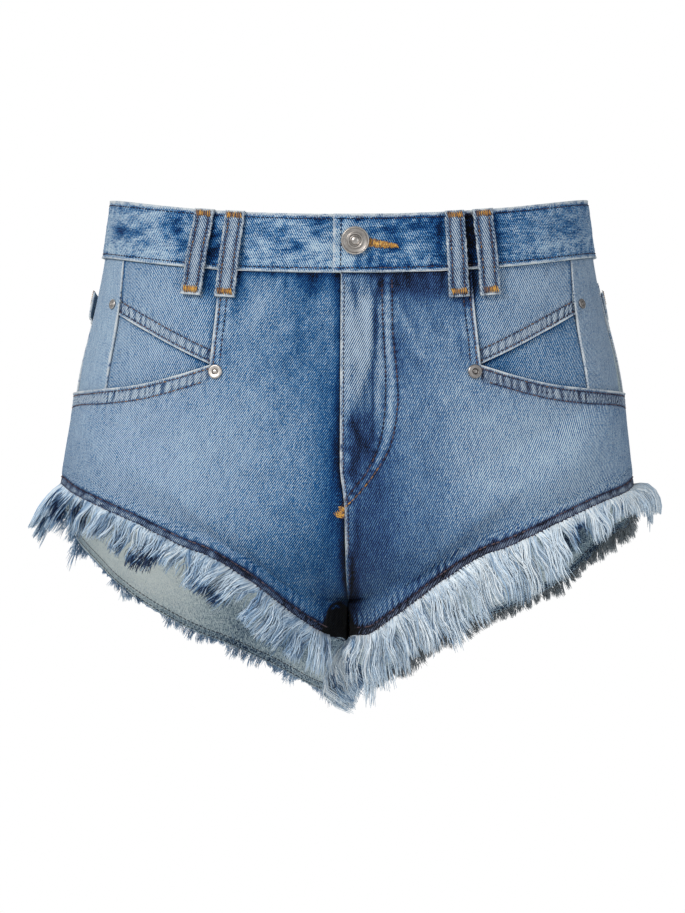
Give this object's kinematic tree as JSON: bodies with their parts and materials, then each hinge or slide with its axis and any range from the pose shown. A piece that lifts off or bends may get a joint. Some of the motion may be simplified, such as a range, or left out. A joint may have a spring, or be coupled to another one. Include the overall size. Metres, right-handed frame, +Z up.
{
  "type": "denim shorts",
  "caption": "Short cut-off denim shorts in their worn, hollow shape, with slanted front pockets, a buttoned waistband, belt loops and frayed hems.",
  "frame": {"origin": "middle of the waist opening, half way up the waistband at the sides", "axes": "+Z up, +X to the wearer's left, -Y to the front"},
  "size_m": [0.3851, 0.2358, 0.3139],
  "materials": {
    "denim": "washed mid-blue twill, faded on the thighs",
    "band_denim": "washed twill, whiskered and pale at its edges",
    "loop_denim": "worn pale twill",
    "fringe": "loose pale warp and weft ends",
    "zip": "dark tape, closed; its teeth aren't modelled",
    "metal": "plain aged nickel"
  },
  "bodies": {
    "root": {"back_left": "denim", "back_pocket_left": "denim", "back_pocket_right": "denim", "back_right": "denim", "belt_loop_back_left": "loop_denim", "belt_loop_back_right": "loop_denim", "belt_loop_inner_left": "loop_denim", "belt_loop_inner_right": "loop_denim", "belt_loop_outer_left": "loop_denim", "belt_loop_outer_right": "loop_denim", "button": "metal", "coin_pocket_left": "denim", "coin_pocket_right": "denim", "fly_underlap": "denim", "fringe_back_left": "fringe", "fringe_back_right": "fringe", "fringe_front_left": "fringe", "fringe_front_right": "fringe", "front_left": "denim", "front_right": "denim", "pocket_facing_left": "denim", "pocket_facing_right": "denim", "rivet_coin_left": "metal", "rivet_coin_right": "metal", "rivet_mouth_left": "metal", "rivet_mouth_right": "metal", "side_panel_left": "denim", "side_panel_right": "denim", "waistband_left": "band_denim", "waistband_right": "band_denim", "yoke_left": "denim", "yoke_right": "denim", "zip": "zip"}
  },
  "joints": []
}
